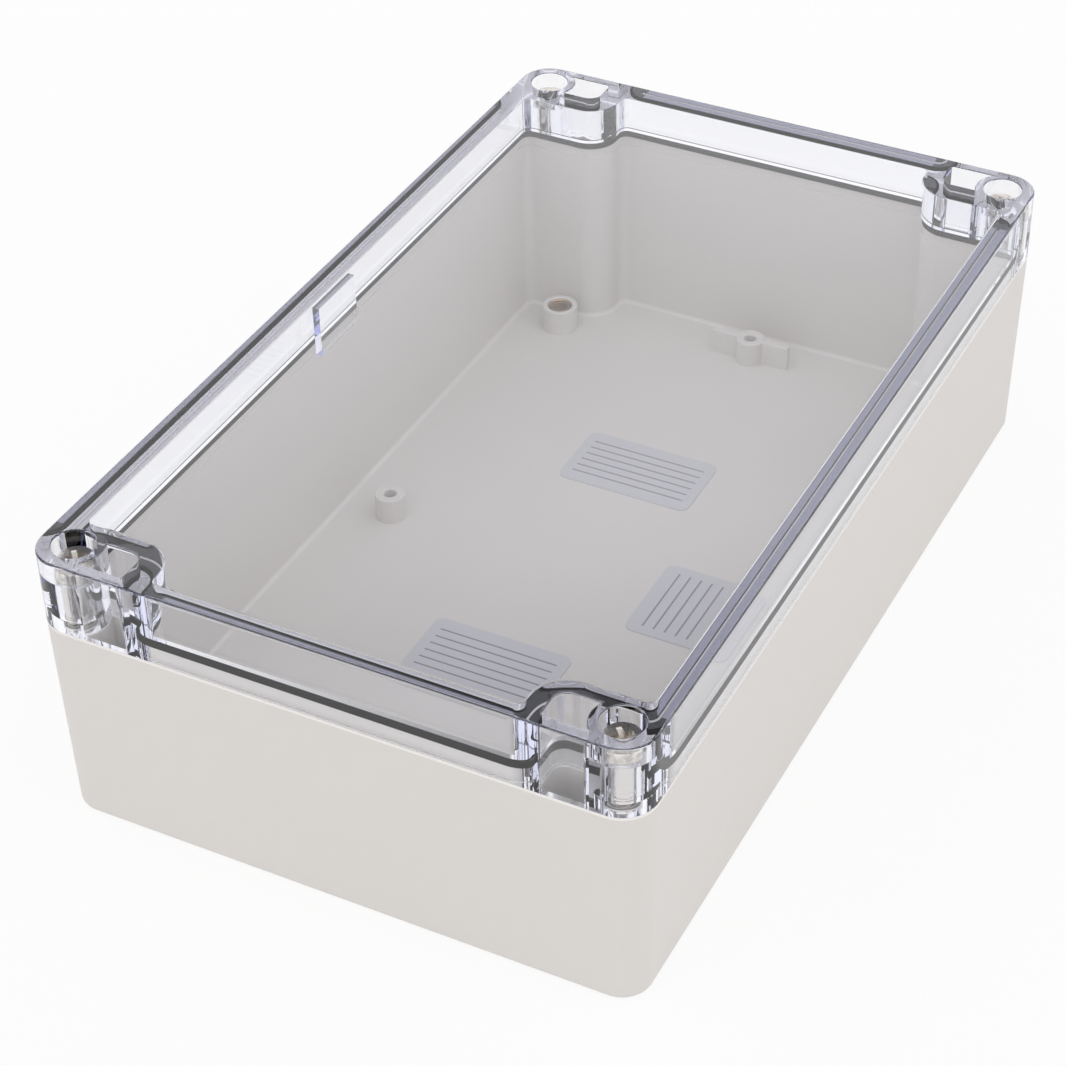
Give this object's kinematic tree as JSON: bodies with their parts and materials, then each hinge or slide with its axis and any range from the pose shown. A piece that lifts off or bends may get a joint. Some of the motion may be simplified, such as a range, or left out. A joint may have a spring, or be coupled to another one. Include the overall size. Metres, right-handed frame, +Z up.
{
  "type": "sealed enclosure",
  "caption": "Rectangular sealed plastic enclosure with a clear screw-down lid, a gasket on a lapped rim, open mounting shafts in the corners and board bosses inside.",
  "frame": {"origin": "centre of the flat bottom face", "axes": "+X across the short side, +Y along the long side, +Z up through the lid"},
  "size_m": [0.12, 0.198, 0.06],
  "materials": {
    "shell": "fine satin, light warm grey",
    "clear_lid": "clear, polished, faint violet edge",
    "seal": "matt dark grey",
    "screw": "bright nickel",
    "insert": "plain turned brass",
    "sticker": "matt film with plain ruled lines"
  },
  "bodies": {
    "base": {"base": "shell", "lid_insert_1": "insert", "lid_insert_2": "insert", "lid_insert_3": "insert", "lid_insert_4": "insert", "board_insert_1": "insert", "board_insert_2": "insert", "board_insert_3": "insert", "board_insert_4": "insert", "far_label": "sticker", "near_label": "sticker", "side_label": "sticker"},
    "lid": {"lid": "clear_lid", "gasket": "seal"},
    "lid_screw_1": {"lid_screw_1": "screw"},
    "lid_screw_2": {"lid_screw_2": "screw"},
    "lid_screw_3": {"lid_screw_3": "screw"},
    "lid_screw_4": {"lid_screw_4": "screw"}
  },
  "joints": [
    {"name": "lid_lift", "type": "slide", "parent": "base", "child": "lid", "axis": [0, 0, 1], "range_m": [0, 0.06]},
    {"name": "lid_screw_1_rise", "type": "slide", "parent": "lid", "child": "lid_screw_1", "axis": [0, 0, 1], "range_m": [0, 0.0105]},
    {"name": "lid_screw_2_rise", "type": "slide", "parent": "lid", "child": "lid_screw_2", "axis": [0, 0, 1], "range_m": [0, 0.0105]},
    {"name": "lid_screw_3_rise", "type": "slide", "parent": "lid", "child": "lid_screw_3", "axis": [0, 0, 1], "range_m": [0, 0.0105]},
    {"name": "lid_screw_4_rise", "type": "slide", "parent": "lid", "child": "lid_screw_4", "axis": [0, 0, 1], "range_m": [0, 0.0105]}
  ]
}
